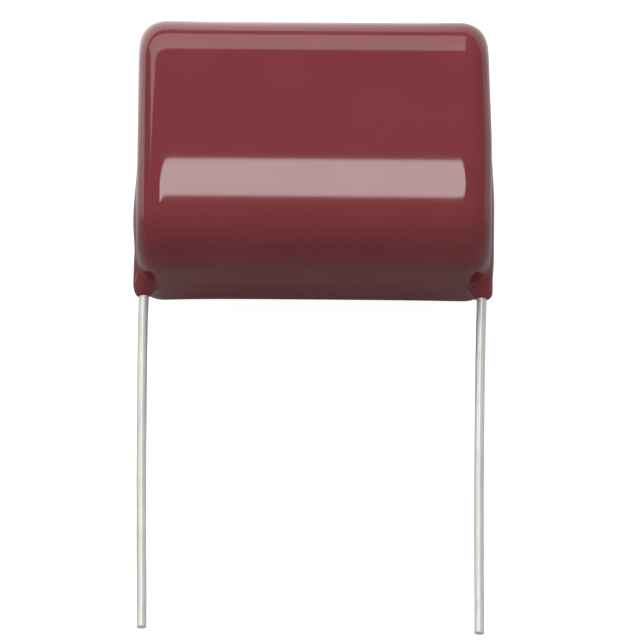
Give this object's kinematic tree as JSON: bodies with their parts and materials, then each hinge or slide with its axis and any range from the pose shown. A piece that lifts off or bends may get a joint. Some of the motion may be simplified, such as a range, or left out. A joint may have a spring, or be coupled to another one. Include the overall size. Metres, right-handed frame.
{
  "type": "dipped film capacitor",
  "caption": "Dark red resin-dipped film capacitor, a rounded block with straight wire leads on a narrow side.",
  "frame": {"origin": "middle of the flat spot on the back face that the part rests on, halfway up the body", "axes": "+X from the left lead to the right lead, +Y away from the leads, +Z out of the front face"},
  "size_m": [0.0294, 0.0516, 0.0148],
  "materials": {
    "red_resin": "glossy dark red dipped resin",
    "plastic_film": "tightly wound metallised plastic film",
    "sprayed_zinc": "matt grey sprayed metal",
    "tinned_wire": "smooth tinned steel wire"
  },
  "bodies": {
    "root": {"epoxy_coating": "red_resin", "film_winding": "plastic_film", "end_spray_left": "sprayed_zinc", "end_spray_right": "sprayed_zinc", "lead_left": "tinned_wire", "lead_right": "tinned_wire"}
  },
  "joints": []
}
